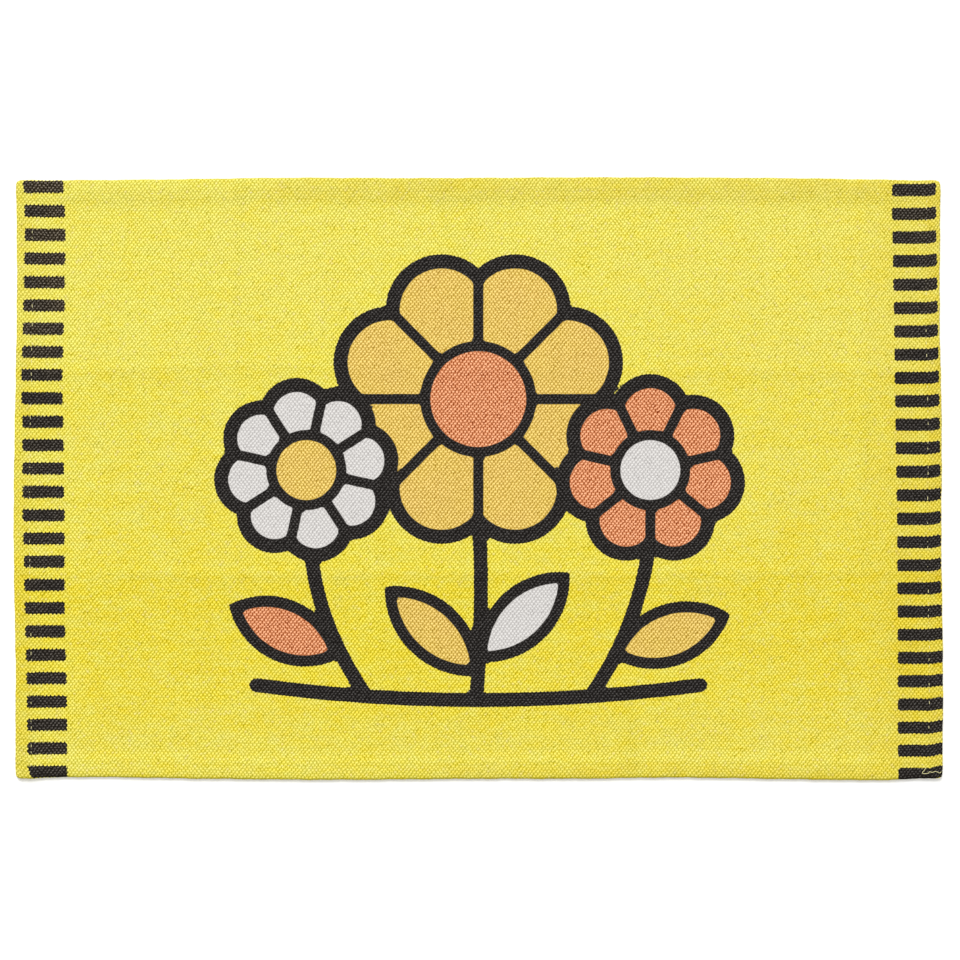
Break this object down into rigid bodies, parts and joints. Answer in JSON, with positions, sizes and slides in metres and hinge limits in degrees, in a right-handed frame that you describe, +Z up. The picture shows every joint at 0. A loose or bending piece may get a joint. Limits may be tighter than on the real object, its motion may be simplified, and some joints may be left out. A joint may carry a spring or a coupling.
{
  "type": "nursery rug",
  "caption": "Flat rectangular nursery rug of printed cotton canvas with a narrow turned hem all round and soft fold ridges, lying on a floor.",
  "frame": {"origin": "on the floor, under the middle of the rug", "axes": "+X along the long side, +Y across the short side towards the picture's top, +Z up from the floor"},
  "size_m": [0.9292, 0.6032, 0.0066],
  "materials": {
    "printed_canvas": "matt",
    "sewing_thread": "matt"
  },
  "bodies": {
    "root": {"rug": "printed_canvas"}
  },
  "joints": []
}
